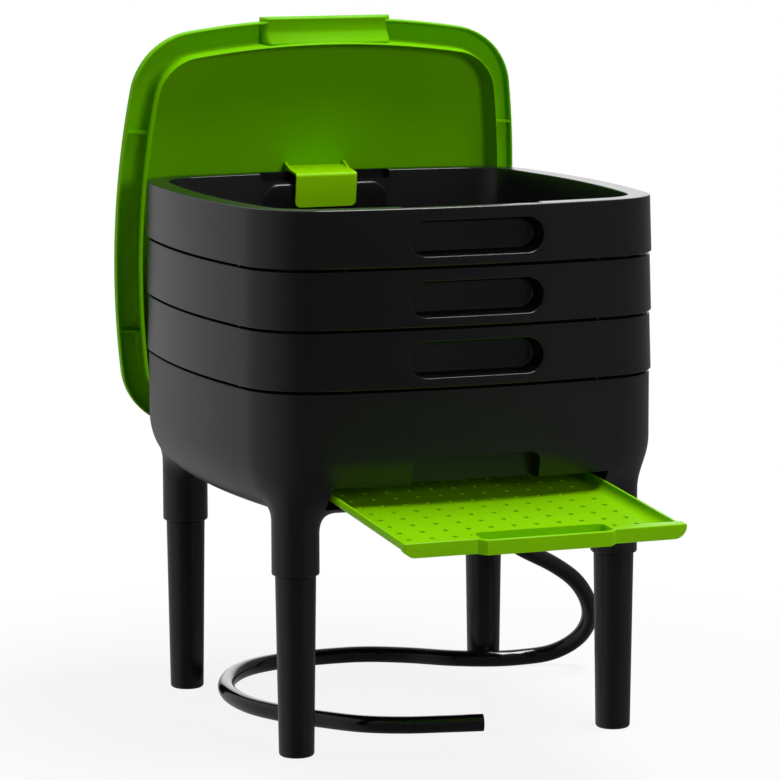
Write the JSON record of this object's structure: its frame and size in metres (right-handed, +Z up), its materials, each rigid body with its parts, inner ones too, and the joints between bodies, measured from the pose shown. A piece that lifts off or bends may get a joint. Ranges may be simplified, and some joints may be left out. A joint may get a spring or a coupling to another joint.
{
  "type": "wormery",
  "caption": "Indoor stacked-tray worm composter on legs, with sloping sieve drawer, drain hose and a lid hung behind by its hook.",
  "frame": {"origin": "on the ground, under the centre of the bounding box of the whole without its hose, with the drawer pulled out in front and the lid hung behind; the point midway between the four feet lies 54.1 mm behind it along +Y", "axes": "+Z up; -Y is the front, where the sieve drawer slides out; +X is to the right of someone who faces the drawer"},
  "size_m": [0.4209, 0.5746, 0.599],
  "materials": {
    "body_plastic": "anthracite, satin, fine moulded grain",
    "leg_plastic": "anthracite, satin",
    "green_plastic": "lime green, soft gloss",
    "fitting_plastic": "black, satin",
    "gasket_rubber": "matt black",
    "hose_vinyl": "glossy black flexible hose"
  },
  "bodies": {
    "base": {"base_tank": "body_plastic", "leg_front_left": "leg_plastic", "leg_front_right": "leg_plastic", "leg_rear_left": "leg_plastic", "leg_rear_right": "leg_plastic", "drain_elbow": "fitting_plastic", "drain_gasket": "gasket_rubber", "drain_nut": "fitting_plastic", "drain_hose": "hose_vinyl"},
    "drawer": {"sieve_drawer": "green_plastic"},
    "bottom_tray": {"tray_bottom": "body_plastic"},
    "middle_tray": {"tray_middle": "body_plastic"},
    "top_tray": {"tray_top": "body_plastic"},
    "hung_lid": {"lid": "green_plastic", "lid_hook": "green_plastic"}
  },
  "joints": [
    {"name": "drawer_slide", "type": "slide", "parent": "base", "child": "drawer", "axis": [0, -0.9965, -0.0837], "range_m": [-0.151, 0]},
    {"name": "bottom_tray_lift", "type": "slide", "parent": "base", "child": "bottom_tray", "axis": [0, 0, 1], "range_m": [0, 0.12]},
    {"name": "middle_tray_lift", "type": "slide", "parent": "bottom_tray", "child": "middle_tray", "axis": [0, 0, 1], "range_m": [0, 0.12]},
    {"name": "top_tray_lift", "type": "slide", "parent": "middle_tray", "child": "top_tray", "axis": [0, 0, 1], "range_m": [0, 0.12]},
    {"name": "lid_lift", "type": "slide", "parent": "top_tray", "child": "hung_lid", "axis": [0, 0, 1], "range_m": [0, 0.05]}
  ]
}
